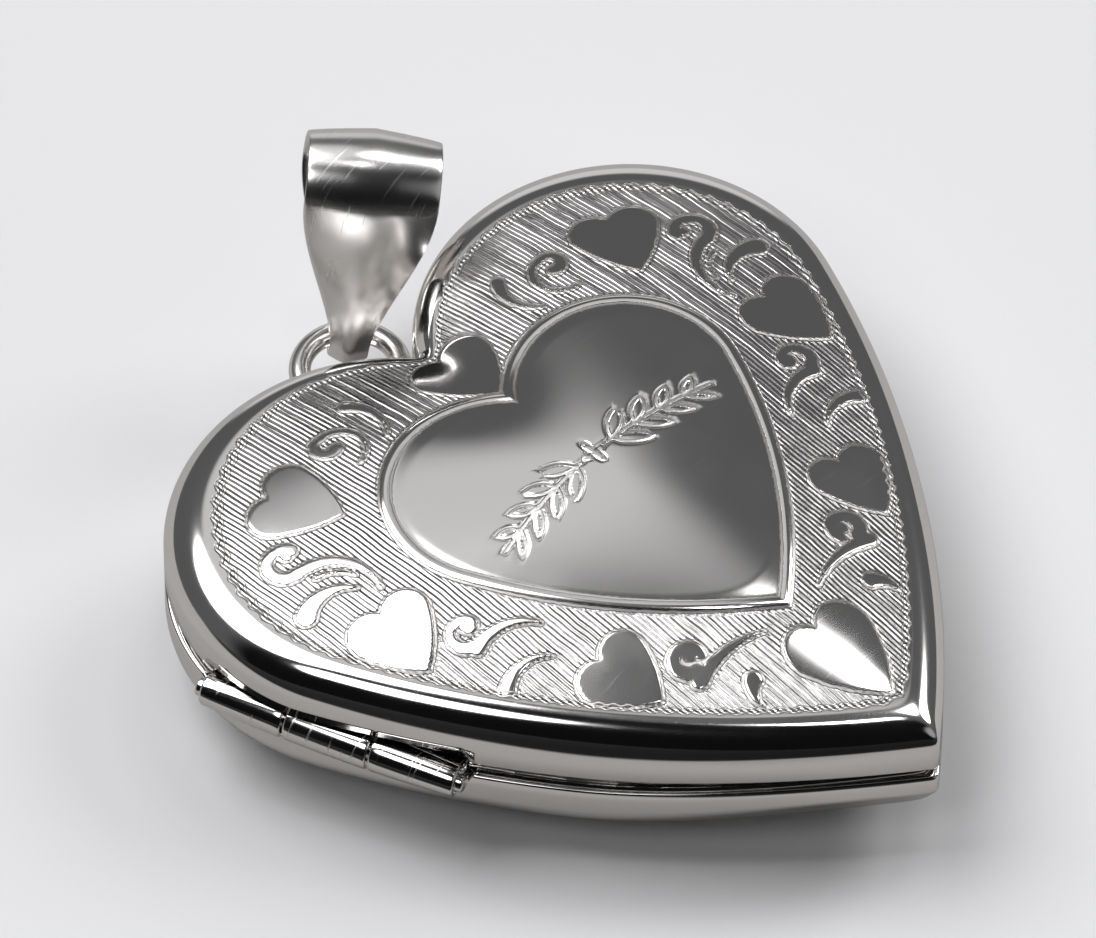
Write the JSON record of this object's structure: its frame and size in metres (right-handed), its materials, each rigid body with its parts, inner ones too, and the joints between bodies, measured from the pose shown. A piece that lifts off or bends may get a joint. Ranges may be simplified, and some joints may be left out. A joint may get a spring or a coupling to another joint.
{
  "type": "heart locket",
  "caption": "Heart-shaped silver locket with an engraved front, a side hinge, a photo frame in each half and a tapered bail for a chain.",
  "frame": {"origin": "centre of the flat on the locket's back, on which it lies", "axes": "+X to the right of the front, +Y up the heart towards the bail, +Z out of the engraved front"},
  "size_m": [0.0207, 0.0238, 0.0078],
  "materials": {
    "engraved_silver": "polished sterling silver with a bright-cut engraved border on a lined ground",
    "polished_silver": "mirror-polished sterling silver",
    "rim_silver": "satin sterling silver",
    "hinge_silver": "drawn silver tube, lightly scratched",
    "bail_silver": "mirror-polished sterling silver",
    "clear_cover": "clear plastic sheet",
    "photo_paper": "blank matte photo paper"
  },
  "bodies": {
    "back": {"back_shell": "polished_silver", "back_rim": "rim_silver", "back_photo": "photo_paper", "back_photo_cover": "clear_cover", "back_photo_frame": "rim_silver", "hinge_knuckle_middle": "hinge_silver", "hinge_pin": "hinge_silver", "bail_loop": "bail_silver"},
    "front": {"front_shell": "engraved_silver", "front_rim": "rim_silver", "front_photo": "photo_paper", "front_photo_cover": "clear_cover", "front_photo_frame": "rim_silver", "hinge_knuckle_upper": "hinge_silver", "hinge_knuckle_lower": "hinge_silver", "catch_tongue": "rim_silver"},
    "bail": {"bail": "bail_silver"}
  },
  "joints": [
    {"name": "lid_hinge", "type": "hinge", "parent": "back", "child": "front", "pos_m": [-0.00911, 0.00083, 0.0027], "axis": [0.3094, -0.9509, 0], "range_deg": [0, 120]},
    {"name": "bail_swing", "type": "hinge", "parent": "back", "child": "bail", "pos_m": [0.00091, 0.00977, 0.0022], "axis": [-0.6666, 0.7339, 0.1308], "range_deg": [-30, 120]}
  ]
}
